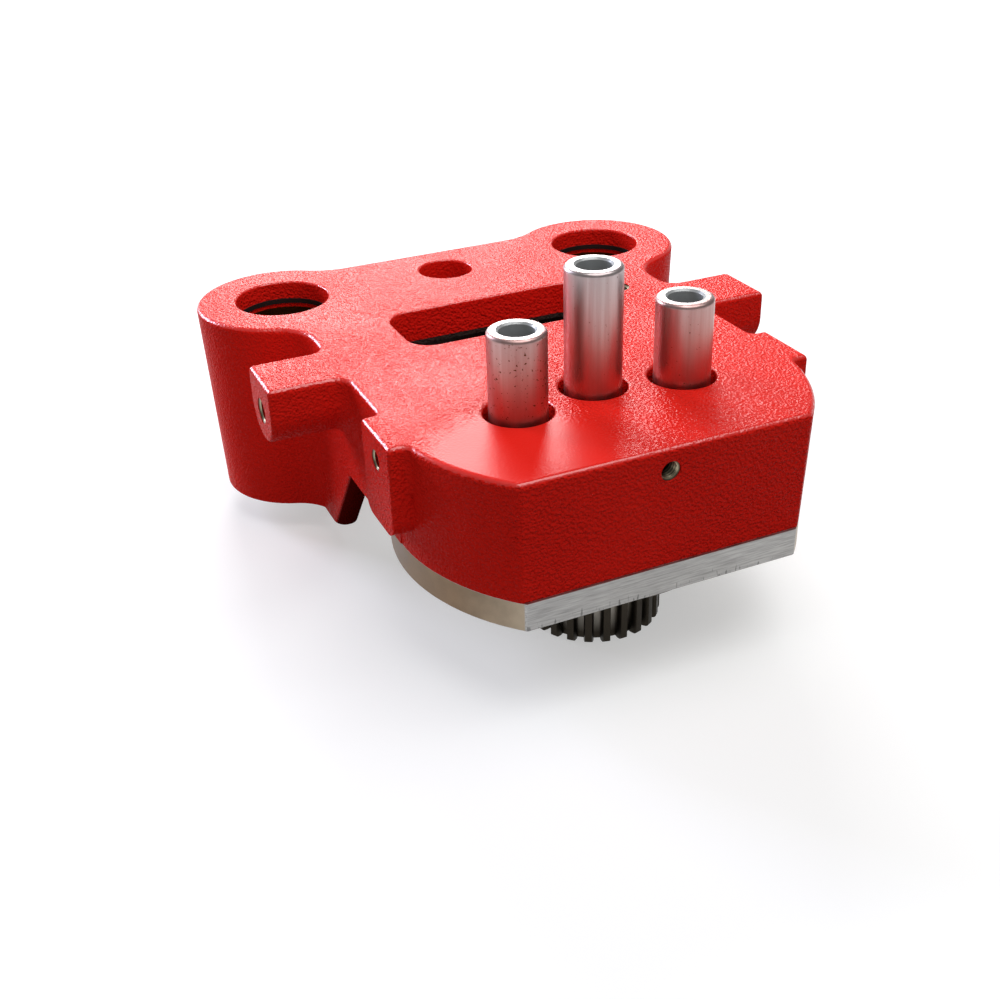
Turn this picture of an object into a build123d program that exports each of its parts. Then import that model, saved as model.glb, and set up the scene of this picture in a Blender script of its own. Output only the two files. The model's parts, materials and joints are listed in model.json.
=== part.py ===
from build123d import *
import math
import os

# Three-spindle drilling head for hinge boring, lying with its spindles up.
# Millimetres. The origin is on the drive axis at the motor face of the flange plate,
# +Z runs along the spindles towards their sockets and +Y runs back to the guide bores.

# Spindle pattern
SPINDLE_SPACING = 52.0
CUP_SETBACK = 5.5

# Spindles
SPINDLE_D = 16.6
SPINDLE_HOLE_D = 20.0
SIDE_SPINDLE_OUT = 24.0
MIDDLE_SPINDLE_OUT = 36.0
SOCKET_D = 10.0
SOCKET_DEPTH = 30.0
SOCKET_CHAMFER = 0.6
TIP_ROUND = 1.2
SHAFT_D = 15.0

# Heights of the housing, the plate and their features
PLATE_T = 9.0
HOUSING_H = 36.0
DECK_T = 12.0
BEARING_ROOF = 11.0
REAR_DROP = 20.0

# Plan of the housing
BODY_R = 61.8
FRONT_REACH = 43.8
SIDE_STEP = 0.8
BACK_DEPTH = 19.5
COLUMN_HALF_SPACING = 59.5
COLUMN_SETBACK = 111.0
BOSS_R = 28.5
BOSS_SKIN = 2.5
BOSS_BLEND = 14.0
BACK_BLEND = 22.0
FRONT_CORNER = 2.5
DRAFT = 2.0
EDGE_ROUND = 1.6
WALL_T = 8.0
RIB_DROP = 5.0
RIB_FRONT = 42.0
RIB_LEAN = 38.0
RIB_ROUND = 3.6

# Side pads, side arms and their tapped holes
PAD_OUT = 4.4
PAD_HALF_W = 11.0
PAD_H = 28.0
PAD_CORNER = 5.0
PAD_ROUND = 1.0
PAD_BLEND = 2.3
PAD_HOLE_DROP = 8.0
ARM_REACH = 84.5
ARM_SETBACK = 49.7
ARM_W = 22.0
ARM_H = 20.0
ARM_ROUND = 1.0
ARM_BLEND = 5.0
ARM_HOLE_DROP = 10.5
FRONT_HOLE_DROP = 7.0
SMALL_TAP_D = 6.0
SMALL_TAP_DEPTH = 14.0
ARM_TAP_D = 8.0
ARM_TAP_DEPTH = 20.0
STOP_TAP_X = 44.5
STOP_TAP_Y = 66.0

# Slot and rod hole in the deck
SLOT_L = 70.0
SLOT_W = 29.5
SLOT_SETBACK = 63.7
SLOT_CORNER = 8.0
SLOT_RIM = 1.0
ROD_HOLE_D = 18.5
HOLE_ROUND = 0.8

# Guide bores
COLUMN_D = 30.0
BORE_MOUTH_GAP = 0.5
BORE_MOUTH_DEPTH = 6.0
WIPER_T = 1.6
WIPER_SECTION = 1.9
WIPER_LIP = 0.06
BORE_LAND = 1.4
BUSH_WALL = 5.0
BUSH_L = 50.0
CIRCLIP_T = 1.75
CIRCLIP_GROOVE = 1.0
CIRCLIP_REACH = 2.6
CIRCLIP_GAP = 12.0

# Flange plate
PLATE_STEP = 1.3
PLATE_FRONT_STEP = 0.3
SPIGOT_R = 40.0
SPIGOT_H = 3.0
PLATE_EDGE = 0.6
MOTOR_PCD = 100.0
MOTOR_TAP_D = 6.0
SCREW_D = 5.0
SCREW_HEAD_D = 8.5
SCREW_HEAD_H = 5.0
SCREW_L = 16.0
SCREW_KEY_D = 4.0
SCREW_KEY_DEPTH = 2.5
SCREW_POINTS = ((50.0, 15.0), (47.0, -17.0), (21.0, 41.0))
DOWEL_D = 6.0
DOWEL_L = 14.0
DOWEL_X = 53.5
DOWEL_Y = -2.0

# Gear train
GEAR_TEETH = 18
GEAR_FACE = 12.0
PRESSURE_ANGLE = 20.0
TOOTH_THINNING = 0.10
TIP_CLEARANCE = 0.25
CHAMBER_GAP = 1.5

# Ball bearings
BEARING_OD = 24.0
BEARING_W = 5.0
BALL_D = 2.4
BALL_COUNT = 11
RACE_GAP = 0.05
RING_T = 1.5

# Keys and retaining rings on the shafts
KEY_W = 5.0
KEY_H = 4.0
KEY_SEAT = 2.3
KEY_L = 10.0
RING_GROOVE = 0.35
RING_REACH = 2.3
RING_W = 1.0
RING_GAP = 3.0
SHAFT_STUB = 1.2
RING_ROOM = 0.8

# Toothed coupling hub on the drive spindle
HUB_TEETH = 24
HUB_MODULE = 1.7
HUB_TOP_GAP = 4.0
HUB_L = 23.0
HUB_STUB = 0.45
HUB_ROUND = 0.8
HUB_SEAT_D = 14.0
HUB_KEY_L = 14.0
HUB_RECESS_D = 20.0
WASHER_T = 3.5
WASHER_SINK = 0.4
HUB_SCREW_D = 6.0
HUB_SCREW_L = 16.0
HUB_SCREW_HEAD_D = 12.0
HUB_SCREW_SOCKET_D = 4.5
HUB_SCREW_SOCKET_DEPTH = 2.2
SEAL_T = 5.0
SEAL_SINK = 0.3
SEAL_GAP = 0.05

# Small fits
SLIP = 0.02
SEAT_GAP = 0.2
OVERCUT = 1.0

# Levels along the drive axis
DECK_Z = PLATE_T + HOUSING_H
BOTTOM_Z = -REAR_DROP
UPPER_BEARING_TOP = DECK_Z - BEARING_ROOF
CHAMBER_TOP = UPPER_BEARING_TOP - BEARING_W
LOWER_BEARING_BOTTOM = PLATE_T - BEARING_W
GEAR_BOTTOM = (PLATE_T + CHAMBER_TOP - GEAR_FACE) / 2
GEAR_TOP = GEAR_BOTTOM + GEAR_FACE
RING_TOP = LOWER_BEARING_BOTTOM
RING_BOTTOM = RING_TOP - RING_W
SIDE_SHAFT_END = RING_BOTTOM - SHAFT_STUB
HUB_TOP = -SPIGOT_H - HUB_TOP_GAP
HUB_BOTTOM = HUB_TOP - HUB_L
WASHER_BOTTOM = HUB_BOTTOM + WASHER_SINK
WASHER_TOP = WASHER_BOTTOM + WASHER_T
DRIVE_SHAFT_END = WASHER_TOP + SEAT_GAP
SEAL_BOTTOM = -SPIGOT_H + SEAL_SINK
SEAL_TOP = SEAL_BOTTOM + SEAL_T

BUSH_TOP = DECK_Z - BORE_MOUTH_DEPTH - WIPER_T - BORE_LAND
BUSH_BOTTOM = BUSH_TOP - BUSH_L
WIPER_BOTTOM = BUSH_TOP + BORE_LAND
SCREW_SEAT = SCREW_HEAD_H + SEAT_GAP
SCREW_TOP = SCREW_SEAT + SCREW_L
DOWEL_BOTTOM = PLATE_T - DOWEL_L / 2
DOWEL_TOP = DOWEL_BOTTOM + DOWEL_L
GEAR_KEY_BOTTOM = (GEAR_BOTTOM + GEAR_TOP - KEY_L) / 2
HUB_KEY_BOTTOM = (WASHER_TOP + HUB_TOP - HUB_KEY_L) / 2
HUB_SCREW_TOP = WASHER_BOTTOM + HUB_SCREW_L

# Widths and reaches that follow from other sizes
SIDE_HALF_W = BODY_R - SIDE_STEP
PAD_REACH = BODY_R + PAD_OUT
BACK_REACH = COLUMN_SETBACK + BACK_DEPTH
PLATE_R = BODY_R - PLATE_STEP
PLATE_FRONT = FRONT_REACH - PLATE_FRONT_STEP

# Radii
SHAFT_R = SHAFT_D / 2
BEARING_R = BEARING_OD / 2
BALL_PATH_R = (SHAFT_R + BEARING_R) / 2
INNER_RING_R = SHAFT_R + RING_T
OUTER_RING_R = BEARING_R - RING_T
COLUMN_R = COLUMN_D / 2
BUSH_R = COLUMN_R + BUSH_WALL
RING_ROOM_R = SHAFT_R + RING_REACH + RING_ROOM
HUB_SEAT_R = HUB_SEAT_D / 2

# Places of the spindles
SIDE_X = SPINDLE_SPACING / 2
PLACES = {"left": (-SIDE_X, -CUP_SETBACK), "middle": (0.0, 0.0), "right": (SIDE_X, -CUP_SETBACK)}
GEAR_CENTRES = math.hypot(SIDE_X, CUP_SETBACK)
GEAR_PITCH_R = GEAR_CENTRES / 2
GEAR_MODULE = GEAR_CENTRES / GEAR_TEETH
GEAR_TIP_R = GEAR_PITCH_R + GEAR_MODULE
TOOTH_PITCH = 360 / GEAR_TEETH
DOWEL_POINT = (DOWEL_X, DOWEL_Y)


def rod(radius, bottom, top, at=(0, 0)):
    """Upright cylinder between two heights."""
    upright = Cylinder(radius, top - bottom, align=(Align.CENTER, Align.CENTER, Align.MIN))
    return Pos(at[0], at[1], bottom) * upright


def sleeve(outer, inner, bottom, top, at=(0, 0)):
    """Upright tube between two heights."""
    return rod(outer, bottom, top, at) - rod(inner, bottom - OVERCUT, top + OVERCUT, at)


def tapped(radius, depth, mouth, turn):
    """Blind hole whose mouth is at a point; turn aims its depth, which starts along -Z."""
    hole = Cylinder(radius, depth + OVERCUT, align=(Align.CENTER, Align.CENTER, Align.MAX))
    return Pos(*mouth) * Rot(*turn) * Pos(0, 0, OVERCUT) * hole


def both_sides(shape):
    """A shape and its mirror image in the plane of symmetry."""
    return shape + mirror(shape, about=Plane.YZ)


# Gear teeth

def tooth_half_angle(radius, pitch_r, teeth):
    """Half the angle that an involute tooth spans at a radius, in radians."""
    pressure = math.radians(PRESSURE_ANGLE)
    there = math.acos(min(1.0, pitch_r * math.cos(pressure) / radius))
    at_pitch = math.pi / (2 * teeth) - TOOTH_THINNING / (2 * pitch_r)
    return at_pitch + math.tan(pressure) - pressure - math.tan(there) + there


def on_circle(radius, angle):
    return (radius * math.cos(angle), radius * math.sin(angle))


def toothed_face(teeth, module, first_tooth):
    """Outline of a spur gear with one tooth centred at first_tooth, in degrees."""
    pitch_r = module * teeth / 2
    tip_r = pitch_r + module
    root_r = pitch_r - (1 + TIP_CLEARANCE) * module
    flank_r = max(root_r * 1.001, pitch_r * math.cos(math.radians(PRESSURE_ANGLE)))
    middle_r = (flank_r + tip_r) / 2
    flank_half = tooth_half_angle(flank_r, pitch_r, teeth)
    middle_half = tooth_half_angle(middle_r, pitch_r, teeth)
    tip_half = tooth_half_angle(tip_r, pitch_r, teeth)
    step = 2 * math.pi / teeth
    half_profile = ((root_r, flank_half), (flank_r, flank_half), (middle_r, middle_half), (tip_r, tip_half))
    edges = []
    for index in range(teeth):
        centre = math.radians(first_tooth) + index * step
        rise = [on_circle(radius, centre - half) for radius, half in half_profile]
        fall = [on_circle(radius, centre + half) for radius, half in reversed(half_profile)]
        gap_middle = on_circle(root_r, centre + step / 2)
        gap_end = on_circle(root_r, centre + step - flank_half)
        edges.append(Line(rise[0], rise[1]))
        edges.append(ThreePointArc(*rise[1:]))
        edges.append(ThreePointArc(rise[3], on_circle(tip_r, centre), fall[0]))
        edges.append(ThreePointArc(*fall[:3]))
        edges.append(Line(fall[2], fall[3]))
        edges.append(ThreePointArc(fall[3], gap_middle, gap_end))
    return make_face(edges)


def meshed_tooth(side):
    """Angle of one tooth of a side gear in mesh with the middle gear, which has a tooth at 270 degrees."""
    towards = math.degrees(math.atan2(-CUP_SETBACK, side * SIDE_X)) % 360
    teeth_on = round((towards - 270) / TOOTH_PITCH)
    lead = 270 + teeth_on * TOOTH_PITCH - towards
    gap = towards + 180 - lead
    return gap + TOOTH_PITCH / 2


# Housing

def housing_plan():
    """Plan of the casting at its top face, without pads and arms."""
    beyond = Rectangle(4 * BODY_R, 2 * BODY_R, align=(Align.CENTER, Align.MAX))
    front = Circle(BODY_R) - Pos(0, -FRONT_REACH) * beyond
    middle = Rectangle(2 * SIDE_HALF_W, COLUMN_SETBACK, align=(Align.CENTER, Align.MIN))
    back = Rectangle(2 * COLUMN_HALF_SPACING, BACK_DEPTH, align=(Align.CENTER, Align.MIN))
    back = Pos(0, COLUMN_SETBACK) * back
    bosses = both_sides(Pos(COLUMN_HALF_SPACING, COLUMN_SETBACK) * Circle(BOSS_R))
    plan = front + middle + back + bosses
    neck = [v for v in plan.vertices() if abs(abs(v.X) - SIDE_HALF_W) < SLIP and v.Y > ARM_SETBACK]
    plan = fillet(neck, BOSS_BLEND)
    corner = [v for v in plan.vertices() if abs(v.Y - BACK_REACH) < SLIP]
    plan = fillet(corner, BACK_BLEND)
    front_corner = [v for v in plan.vertices() if abs(v.Y + FRONT_REACH) < SLIP]
    return fillet(front_corner, FRONT_CORNER)


def arm():
    """Right side arm with a flat top and a half-round underside."""
    length = ARM_REACH - SIDE_HALF_W + WALL_T
    radius = ARM_W / 2
    flank = ARM_H - radius
    section = Pos(0, -flank) * Circle(radius)
    section -= Rectangle(2 * ARM_W, ARM_H, align=(Align.CENTER, Align.MIN))
    section += Rectangle(ARM_W, flank, align=(Align.CENTER, Align.MAX))
    plane = Plane(origin=(ARM_REACH - length, ARM_SETBACK, DECK_Z), x_dir=(0, 1, 0), z_dir=(1, 0, 0))
    return extrude(plane * section, amount=length)


def side_rib():
    """Right side wall, upright from just under the deck to the foot, which runs back into the guide boss."""
    size = (WALL_T, COLUMN_SETBACK - BOSS_R, DECK_Z - BOTTOM_Z - RIB_DROP)
    block = Box(*size, align=(Align.MAX, Align.MIN, Align.MAX))
    return Pos(SIDE_HALF_W - RIB_DROP * math.tan(math.radians(DRAFT)), 0, DECK_Z - RIB_DROP) * block


def pad():
    """Right side pad over the full height of the body wall."""
    inner = BODY_R - WALL_T
    size = (PAD_REACH - inner, 2 * PAD_HALF_W, DECK_Z - PLATE_T)
    return Pos(inner, 0, DECK_Z) * Box(*size, align=(Align.MIN, Align.CENTER, Align.MAX))


def pad_trim():
    """What is taken off the right pad so that it ends above the joint with rounded lower corners."""
    outline = Rectangle(2 * PAD_HALF_W, PAD_H, align=(Align.CENTER, Align.MAX))
    lower = [v for v in outline.vertices() if v.Y < -PAD_H / 2]
    around = Rectangle(4 * PAD_HALF_W, DECK_Z - PLATE_T, align=(Align.CENTER, Align.MAX))
    around = Pos(0, -PAD_H / 2) * around
    inner = BODY_R - WALL_T
    plane = Plane(origin=(inner, 0, DECK_Z), x_dir=(0, 1, 0), z_dir=(1, 0, 0))
    return extrude(plane * (around - fillet(lower, PAD_CORNER)), amount=PAD_REACH - inner + OVERCUT)


def motor_room():
    """Space for the motor under the casting, where the front ends of the side ribs lean back."""
    depth = PLATE_T - BOTTOM_Z + OVERCUT
    lean = depth * math.tan(math.radians(RIB_LEAN))
    foot = PLATE_T - depth
    points = ((-2 * BODY_R, PLATE_T), (RIB_FRONT, PLATE_T), (RIB_FRONT + lean, foot), (-2 * BODY_R, foot))
    room = extrude(Plane.YZ * make_face(Polyline(*points, close=True)), amount=2 * BODY_R, both=True)
    front = SLOT_SETBACK - SLOT_W / 2
    inside = Box(2 * (SIDE_HALF_W - WALL_T), 2 * front, depth, align=(Align.CENTER, Align.CENTER, Align.MAX))
    return room + Pos(0, 0, PLATE_T) * inside


def rib_edges(shape):
    """Leaning edges at the front ends of the side ribs."""
    found = []
    for edge in shape.edges():
        low = edge.bounding_box().min
        high = edge.bounding_box().max
        whole = abs(low.Z - BOTTOM_Z) < SLIP and abs(high.Z - PLATE_T) < SLIP
        if whole and abs(low.Y - RIB_FRONT) < SLIP and high.Y > low.Y + SLIP:
            found.append(edge)
    return found


def root_edges(shape, middle, half_w, drop):
    """Edges where an arm or a pad runs into the side walls, on both sides."""
    found = []
    for edge in shape.edges():
        low = edge.bounding_box().min
        high = edge.bounding_box().max
        inside = min(abs(low.X), abs(high.X)) > SIDE_HALF_W - WALL_T
        inside = inside and max(abs(low.X), abs(high.X)) < PAD_REACH - PAD_OUT / 2
        beside = abs(abs(low.Y - middle) - half_w) < SLIP or abs(abs(high.Y - middle) - half_w) < SLIP
        upright = high.Z - low.Z > half_w / 2 and low.Z > DECK_Z - drop - SLIP
        if inside and beside and upright:
            found.append(edge)
    return found


def end_edges(shape, reach):
    """Edges round the outer end of an arm or a pad, below its top, on both sides."""
    found = []
    for edge in shape.edges():
        low = edge.bounding_box().min
        high = edge.bounding_box().max
        at_end = abs(abs(low.X) - reach) < SLIP and abs(abs(high.X) - reach) < SLIP
        if at_end and low.Z < DECK_Z - SLIP and high.Z > low.Z + SLIP:
            found.append(edge)
    return found


def cast_body():
    """Outside of the casting with its drafted walls, pads, arms, cast blends and rounded rim."""
    plan = Pos(0, 0, DECK_Z) * housing_plan()
    walls = extrude(plan, amount=DECK_Z - BOTTOM_Z, dir=(0, 0, -1), taper=DRAFT) - motor_room()
    body = walls + both_sides(pad()) + both_sides(arm())
    body = fillet(root_edges(body, ARM_SETBACK, ARM_W / 2, ARM_H), ARM_BLEND)
    body = fillet(root_edges(body, 0, PAD_HALF_W, DECK_Z - PLATE_T), PAD_BLEND)
    body = fillet(end_edges(body, ARM_REACH), ARM_ROUND)
    body = fillet(end_edges(body, PAD_REACH), PAD_ROUND)
    rim = body.edges().filter_by_position(Axis.Z, DECK_Z - SLIP, DECK_Z + SLIP)
    body = fillet(rim, EDGE_ROUND) - (both_sides(pad_trim()) - walls)
    return body + (both_sides(side_rib()) - motor_room())


def rear_cavity():
    """Space under the deck between the guide bosses, open below."""
    half_w = SIDE_HALF_W - WALL_T
    front = SLOT_SETBACK - SLOT_W / 2 - SLOT_RIM
    depth = BACK_REACH - WALL_T - front
    plan = Pos(0, front) * Rectangle(2 * half_w, depth, align=(Align.CENTER, Align.MIN))
    plan -= both_sides(Pos(COLUMN_HALF_SPACING, COLUMN_SETBACK) * Circle(BOSS_R - BOSS_SKIN))
    return Pos(0, 0, BOTTOM_Z - OVERCUT) * extrude(plan, amount=DECK_Z - DECK_T - BOTTOM_Z + OVERCUT)


def guide_bore():
    """Stepped hole of the right guide boss: mouth, wiper groove, land, bush seat and ring groove."""
    at = (COLUMN_HALF_SPACING, COLUMN_SETBACK)
    mouth_r = COLUMN_R + BORE_MOUTH_GAP
    hole = rod(mouth_r, BUSH_TOP - OVERCUT, DECK_Z + OVERCUT, at)
    hole += rod(COLUMN_R + WIPER_SECTION + SLIP, WIPER_BOTTOM, WIPER_BOTTOM + WIPER_T, at)
    hole += rod(BUSH_R + SLIP, BOTTOM_Z - OVERCUT, BUSH_TOP, at)
    hole += rod(BUSH_R + CIRCLIP_GROOVE + SLIP, BUSH_BOTTOM - CIRCLIP_T, BUSH_BOTTOM, at)
    return hole


def gear_housing():
    casting = cast_body() - rear_cavity()
    casting = fillet(rib_edges(casting), RIB_ROUND)
    slot = extrude(RectangleRounded(SLOT_L, SLOT_W, SLOT_CORNER), amount=DECK_T + 2 * OVERCUT)
    casting -= Pos(0, SLOT_SETBACK, DECK_Z - DECK_T - OVERCUT) * slot
    casting -= rod(ROD_HOLE_D / 2, DECK_Z - DECK_T - OVERCUT, DECK_Z + OVERCUT, (0, COLUMN_SETBACK))
    casting -= both_sides(guide_bore())
    for at in PLACES.values():
        casting -= rod(GEAR_TIP_R + CHAMBER_GAP, PLATE_T - OVERCUT, CHAMBER_TOP, at)
        casting -= rod(BEARING_R + SLIP, CHAMBER_TOP - OVERCUT, UPPER_BEARING_TOP, at)
        casting -= rod(SPINDLE_HOLE_D / 2, CHAMBER_TOP, DECK_Z + OVERCUT, at)
    tops = casting.faces().filter_by_position(Axis.Z, DECK_Z - SLIP, DECK_Z + SLIP)
    deck = tops.sort_by(SortBy.AREA)[-1]
    casting = fillet([edge for wire in deck.inner_wires() for edge in wire.edges()], HOLE_ROUND)
    casting -= rod(ARM_TAP_D / 2, DECK_Z - DECK_T - OVERCUT, DECK_Z + OVERCUT, (STOP_TAP_X, STOP_TAP_Y))
    front_mouth = (0, -FRONT_REACH, DECK_Z - FRONT_HOLE_DROP)
    casting -= tapped(SMALL_TAP_D / 2, SMALL_TAP_DEPTH, front_mouth, (90, 0, 0))
    pad_mouth = (PAD_REACH, 0, DECK_Z - PAD_HOLE_DROP)
    casting -= both_sides(tapped(SMALL_TAP_D / 2, SMALL_TAP_DEPTH, pad_mouth, (0, 90, 0)))
    arm_mouth = (ARM_REACH, ARM_SETBACK, DECK_Z - ARM_HOLE_DROP)
    casting -= both_sides(tapped(ARM_TAP_D / 2, ARM_TAP_DEPTH, arm_mouth, (0, 90, 0)))
    for point in SCREW_POINTS:
        casting -= both_sides(rod(SCREW_D / 2 + SLIP, PLATE_T - OVERCUT, SCREW_TOP + OVERCUT, point))
    casting -= both_sides(rod(DOWEL_D / 2 + SLIP, PLATE_T - OVERCUT, DOWEL_TOP + SEAT_GAP, DOWEL_POINT))
    return casting


# Guide bushes and rings

def guide_bush(at):
    return sleeve(BUSH_R, COLUMN_R, BUSH_BOTTOM, BUSH_TOP, at)


def wiper_ring(at):
    return sleeve(COLUMN_R + WIPER_SECTION, COLUMN_R + WIPER_LIP, WIPER_BOTTOM, WIPER_BOTTOM + WIPER_T, at)


def bush_ring(at):
    """Internal retaining ring, open at the front."""
    outer = BUSH_R + CIRCLIP_GROOVE
    ring = sleeve(outer, outer - CIRCLIP_REACH, BUSH_BOTTOM - CIRCLIP_T, BUSH_BOTTOM, at)
    gap = Box(CIRCLIP_GAP, 2 * outer, 2 * outer, align=(Align.CENTER, Align.MAX, Align.CENTER))
    return ring - Pos(at[0], at[1], BUSH_BOTTOM) * gap


# Flange plate and its fasteners

def flange_plate():
    disc = rod(PLATE_R, 0, PLATE_T)
    beyond = Box(4 * PLATE_R, 2 * PLATE_R, 4 * PLATE_T, align=(Align.CENTER, Align.MAX, Align.CENTER))
    disc -= Pos(0, -PLATE_FRONT, 0) * beyond
    disc = chamfer(disc.edges().filter_by_position(Axis.Z, -SLIP, SLIP), PLATE_EDGE)
    plate = disc + rod(SPIGOT_R, -SPIGOT_H, OVERCUT)
    spigot_edge = plate.edges().filter_by_position(Axis.Z, -SPIGOT_H - SLIP, -SPIGOT_H + SLIP)
    plate = chamfer(spigot_edge, PLATE_EDGE)
    for name, at in PLACES.items():
        plate -= rod(BEARING_R + SLIP, LOWER_BEARING_BOTTOM, PLATE_T + OVERCUT, at)
        if name == "middle":
            plate -= rod(RING_ROOM_R, -SPIGOT_H, PLATE_T, at)
            plate -= rod(BEARING_R + SLIP, -SPIGOT_H - OVERCUT, SEAL_TOP, at)
        else:
            plate -= rod(RING_ROOM_R, SIDE_SHAFT_END - RING_ROOM, PLATE_T, at)
    for angle in (45, 135, 225, 315):
        bolt = on_circle(MOTOR_PCD / 2, math.radians(angle))
        plate -= rod(MOTOR_TAP_D / 2, -OVERCUT, PLATE_T + OVERCUT, bolt)
    for point in SCREW_POINTS:
        hole = rod(SCREW_D / 2 + SEAT_GAP, -OVERCUT, PLATE_T + OVERCUT, point)
        hole += rod(SCREW_HEAD_D / 2 + SEAT_GAP, -OVERCUT, SCREW_SEAT, point)
        plate -= both_sides(hole)
    plate -= both_sides(rod(DOWEL_D / 2 + SLIP, DOWEL_BOTTOM - SEAT_GAP, PLATE_T + OVERCUT, DOWEL_POINT))
    return plate


def plate_screw(at):
    """Socket-head screw with its head down in the plate's counterbore."""
    screw = rod(SCREW_HEAD_D / 2, SCREW_SEAT - SCREW_HEAD_H, SCREW_SEAT, at)
    screw += rod(SCREW_D / 2, SCREW_SEAT, SCREW_TOP, at)
    hexagon = RegularPolygon(SCREW_KEY_D / 2, 6, major_radius=False)
    key = extrude(hexagon, amount=SCREW_KEY_DEPTH + OVERCUT)
    return screw - Pos(at[0], at[1], SCREW_SEAT - SCREW_HEAD_H - OVERCUT) * key


def plate_screws():
    return [plate_screw((side * x, y)) for x, y in SCREW_POINTS for side in (-1, 1)]


def plate_dowels():
    points = ((-DOWEL_X, DOWEL_Y), (DOWEL_X, DOWEL_Y))
    return [rod(DOWEL_D / 2, DOWEL_BOTTOM, DOWEL_TOP, point) for point in points]


# Bearings and seal

def race(at, bottom):
    """Ring-shaped room for the balls of a bearing."""
    return Pos(at[0], at[1], bottom + BEARING_W / 2) * Torus(BALL_PATH_R, BALL_D / 2 + RACE_GAP)


def outer_ring(at, bottom):
    return sleeve(BEARING_R, OUTER_RING_R, bottom, bottom + BEARING_W, at) - race(at, bottom)


def inner_ring(at, bottom):
    return sleeve(INNER_RING_R, SHAFT_R + SLIP, bottom, bottom + BEARING_W, at) - race(at, bottom)


def ball_set(at, bottom):
    balls = []
    for index in range(BALL_COUNT):
        angle = 2 * math.pi * index / BALL_COUNT
        x = at[0] + BALL_PATH_R * math.cos(angle)
        y = at[1] + BALL_PATH_R * math.sin(angle)
        balls.append(Pos(x, y, bottom + BEARING_W / 2) * Sphere(BALL_D / 2))
    return balls


def shaft_seal():
    return sleeve(BEARING_R, SHAFT_R + SEAL_GAP, SEAL_BOTTOM, SEAL_TOP)


# What turns

def key_block(at, shaft_r, bottom, length, gap=0.0):
    """Parallel key on the back of a shaft, or its seat when a gap is given."""
    block = Box(KEY_W + 2 * gap, KEY_H + gap, length + 2 * gap, align=(Align.CENTER, Align.MIN, Align.MIN))
    return Pos(at[0], at[1] + shaft_r - KEY_SEAT, bottom - gap) * block


def ring_groove(at):
    return sleeve(SHAFT_R + OVERCUT, SHAFT_R - RING_GROOVE, RING_BOTTOM, RING_TOP, at)


def spindle(at, out, shaft_end):
    """Stepped shaft: the socketed nose above the bearing shoulder and the shaft below it."""
    tip = DECK_Z + out
    nose = rod(SPINDLE_D / 2, UPPER_BEARING_TOP, tip, at)
    nose = fillet(nose.edges().group_by(Axis.Z)[-1], TIP_ROUND)
    nose -= rod(SOCKET_D / 2, tip - SOCKET_DEPTH, tip + OVERCUT, at)
    mouth = nose.edges().filter_by(GeomType.CIRCLE).filter_by_position(Axis.Z, tip - SLIP, tip + SLIP)
    nose = chamfer(mouth.sort_by(SortBy.RADIUS)[0], SOCKET_CHAMFER)
    shaft = nose + rod(SHAFT_R, shaft_end, UPPER_BEARING_TOP, at)
    shaft -= ring_groove(at)
    return shaft - key_block(at, SHAFT_R, GEAR_KEY_BOTTOM, KEY_L, SLIP)


def drive_spindle():
    """Middle spindle, which runs on through the plate to the coupling hub."""
    shaft = spindle(PLACES["middle"], MIDDLE_SPINDLE_OUT, HUB_TOP)
    shaft += rod(HUB_SEAT_R, DRIVE_SHAFT_END, HUB_TOP)
    shaft -= key_block((0, 0), HUB_SEAT_R, HUB_KEY_BOTTOM, HUB_KEY_L, SLIP)
    return shaft - rod(HUB_SCREW_D / 2 + SLIP, DRIVE_SHAFT_END - OVERCUT, HUB_SCREW_TOP + OVERCUT)


def spur_gear(at, first_tooth):
    outline = toothed_face(GEAR_TEETH, GEAR_MODULE, first_tooth)
    blank = Pos(at[0], at[1], GEAR_BOTTOM) * extrude(outline, amount=GEAR_FACE)
    blank -= rod(SHAFT_R + SLIP, GEAR_BOTTOM - OVERCUT, GEAR_TOP + OVERCUT, at)
    return blank - key_block(at, SHAFT_R, GEAR_BOTTOM - OVERCUT, GEAR_FACE + 2 * OVERCUT, SLIP)


def shaft_ring(at):
    """External retaining ring under the lower bearing, open at the front."""
    outer = SHAFT_R + RING_REACH
    ring = sleeve(outer, SHAFT_R - RING_GROOVE + SLIP, RING_BOTTOM, RING_TOP, at)
    gap = Box(RING_GAP, 2 * outer, 2 * outer, align=(Align.CENTER, Align.MAX, Align.CENTER))
    return ring - Pos(at[0], at[1], RING_BOTTOM) * gap


def coupling_hub():
    """Toothed hub with stub teeth and rounded tooth ends, a keyed bore and a recess for its clamp washer."""
    teeth = Pos(0, 0, HUB_BOTTOM) * extrude(toothed_face(HUB_TEETH, HUB_MODULE, 0), amount=HUB_L)
    envelope = rod(HUB_MODULE * (HUB_TEETH / 2 + HUB_STUB), HUB_BOTTOM, HUB_TOP)
    envelope = fillet(envelope.edges().filter_by(GeomType.CIRCLE), HUB_ROUND)
    hub = teeth & envelope
    hub -= rod(HUB_SEAT_R + SLIP, HUB_BOTTOM - OVERCUT, HUB_TOP + OVERCUT)
    hub -= rod(HUB_RECESS_D / 2, HUB_BOTTOM - OVERCUT, WASHER_TOP)
    return hub - key_block((0, 0), HUB_SEAT_R, WASHER_TOP - OVERCUT, HUB_L + OVERCUT, SLIP)


def screw_cone(gap):
    """Countersunk head of the hub screw, or its seat in the washer."""
    head_h = (HUB_SCREW_HEAD_D - HUB_SCREW_D) / 2
    upright = (Align.CENTER, Align.CENTER, Align.MIN)
    cone = Cone(HUB_SCREW_HEAD_D / 2 + gap, HUB_SCREW_D / 2 + gap, head_h, align=upright)
    return Pos(0, 0, WASHER_BOTTOM) * cone


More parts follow.
